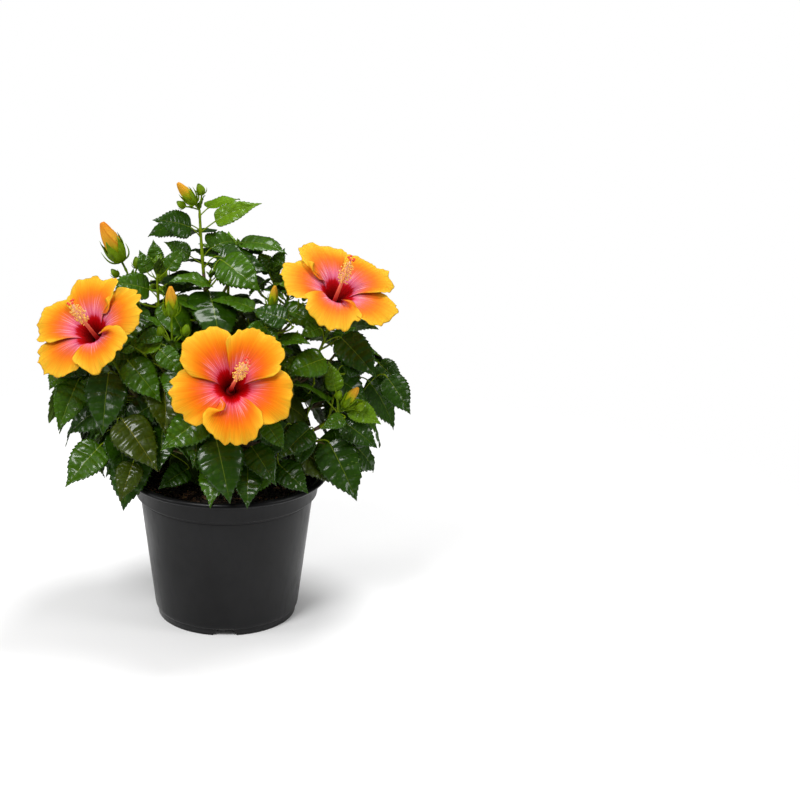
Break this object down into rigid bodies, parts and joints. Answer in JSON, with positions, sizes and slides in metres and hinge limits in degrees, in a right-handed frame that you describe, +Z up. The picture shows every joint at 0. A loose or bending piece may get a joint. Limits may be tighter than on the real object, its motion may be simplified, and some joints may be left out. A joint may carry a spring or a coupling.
{
  "type": "potted hibiscus shrub",
  "caption": "Leafy hibiscus shrub in a plain black nursery pot: short woody trunk, forking boughs, masses of toothed leaves, buds and open orange blooms.",
  "frame": {"origin": "centre of the pot's underside, on the surface that it stands on", "axes": "+Z up along the pot's axis, -Y towards the picture's camera, +X to its right"},
  "size_m": [0.4559, 0.3477, 0.555],
  "materials": {
    "pot": "satin moulded black plastic, glossier at the lip",
    "soil": "coarse damp potting mix with bark chips",
    "bark": "rough grey-brown bark",
    "leaves": "glossy quilted leaf, duller and paler beneath",
    "petals": "thin satin petal, yellow edge to crimson throat"
  },
  "bodies": {
    "root": {"pot": "pot", "soil": "soil", "trunk": "bark", "bough_leader": "bark", "bough_upper_left": "bark", "bough_left_bloom_spray": "bark", "bough_front_left": "bark", "bough_front_bloom_spray": "bark", "bough_front_right": "bark", "bough_upper_right": "bark", "bough_right_bloom_spray": "bark", "bough_low_right": "bark", "bough_low_left": "bark", "bough_low_front": "bark", "bough_right_side": "bark", "bough_left_side": "bark", "bough_back_left": "bark", "bough_back_right": "bark", "bough_back_low": "bark", "bough_back_top": "bark", "mass_leader": "leaves", "mass_upper_left": "leaves", "mass_left_bloom_spray": "leaves", "mass_front_left": "leaves", "mass_front_bloom_spray": "leaves", "mass_front_right": "leaves", "mass_upper_right": "leaves", "mass_right_bloom_spray": "leaves", "mass_low_right": "leaves", "mass_low_left": "leaves", "mass_low_front": "leaves", "mass_right_side": "leaves", "mass_left_side": "leaves", "mass_back_left": "leaves", "mass_back_right": "leaves", "mass_back_low": "leaves", "mass_back_top": "leaves", "bloom_left": "petals", "bloom_front": "petals", "bloom_right": "petals"}
  },
  "joints": []
}
